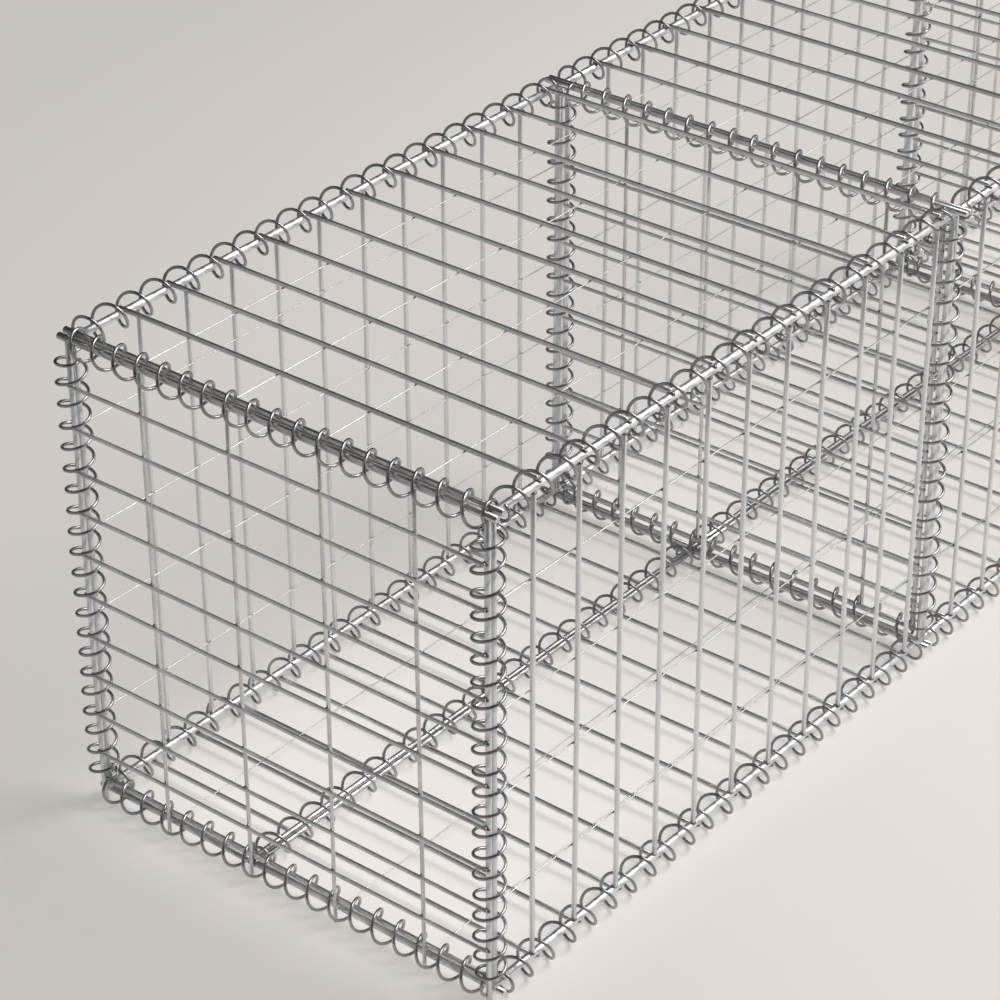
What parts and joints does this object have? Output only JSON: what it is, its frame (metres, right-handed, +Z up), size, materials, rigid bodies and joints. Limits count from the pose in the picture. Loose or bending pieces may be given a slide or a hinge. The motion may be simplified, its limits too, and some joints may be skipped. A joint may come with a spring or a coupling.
{
  "type": "gabion wall cage",
  "caption": "Empty welded-mesh gabion cage for a wall, divided into bays, its lid and panel edges laced shut with spiral binding wires.",
  "frame": {"origin": "centre of the footprint, on the level ground that the bottom spirals stand on", "axes": "+X along the wall, +Y across it from the front face to the back, +Z up"},
  "size_m": [2.1944, 0.5204, 0.534],
  "materials": {
    "mesh_wire": "bright galvanised wire",
    "spiral_wire": "galvanised spring wire, a little darker"
  },
  "bodies": {
    "root": {"bay1_back_panel": "mesh_wire", "bay1_floor_back": "mesh_wire", "bay1_floor_front": "mesh_wire", "bay1_front_panel": "mesh_wire", "bay1_lid": "mesh_wire", "bay1_spiral_bottom_back": "spiral_wire", "bay1_spiral_bottom_front": "spiral_wire", "bay1_spiral_floor_joint": "spiral_wire", "bay1_spiral_top_back": "spiral_wire", "bay1_spiral_top_front": "spiral_wire", "bay2_back_panel": "mesh_wire", "bay2_floor_back": "mesh_wire", "bay2_floor_front": "mesh_wire", "bay2_front_panel": "mesh_wire", "bay2_lid": "mesh_wire", "bay2_spiral_bottom_back": "spiral_wire", "bay2_spiral_bottom_front": "spiral_wire", "bay2_spiral_floor_joint": "spiral_wire", "bay2_spiral_top_back": "spiral_wire", "bay2_spiral_top_front": "spiral_wire", "bay3_back_panel": "mesh_wire", "bay3_floor_back": "mesh_wire", "bay3_floor_front": "mesh_wire", "bay3_front_panel": "mesh_wire", "bay3_lid": "mesh_wire", "bay3_spiral_bottom_back": "spiral_wire", "bay3_spiral_bottom_front": "spiral_wire", "bay3_spiral_floor_joint": "spiral_wire", "bay3_spiral_top_back": "spiral_wire", "bay3_spiral_top_front": "spiral_wire", "dividing_panel_1": "mesh_wire", "dividing_panel_2": "mesh_wire", "end_panel_far": "mesh_wire", "end_panel_near": "mesh_wire", "spiral_bottom_divider_1": "spiral_wire", "spiral_bottom_divider_2": "spiral_wire", "spiral_bottom_far_end": "spiral_wire", "spiral_bottom_near_end": "spiral_wire", "spiral_post_back_divider_1": "spiral_wire", "spiral_post_back_divider_2": "spiral_wire", "spiral_post_back_far_end": "spiral_wire", "spiral_post_back_near_end": "spiral_wire", "spiral_post_front_divider_1": "spiral_wire", "spiral_post_front_divider_2": "spiral_wire", "spiral_post_front_far_end": "spiral_wire", "spiral_post_front_near_end": "spiral_wire", "spiral_top_divider_1": "spiral_wire", "spiral_top_divider_2": "spiral_wire", "spiral_top_far_end": "spiral_wire", "spiral_top_near_end": "spiral_wire"}
  },
  "joints": []
}
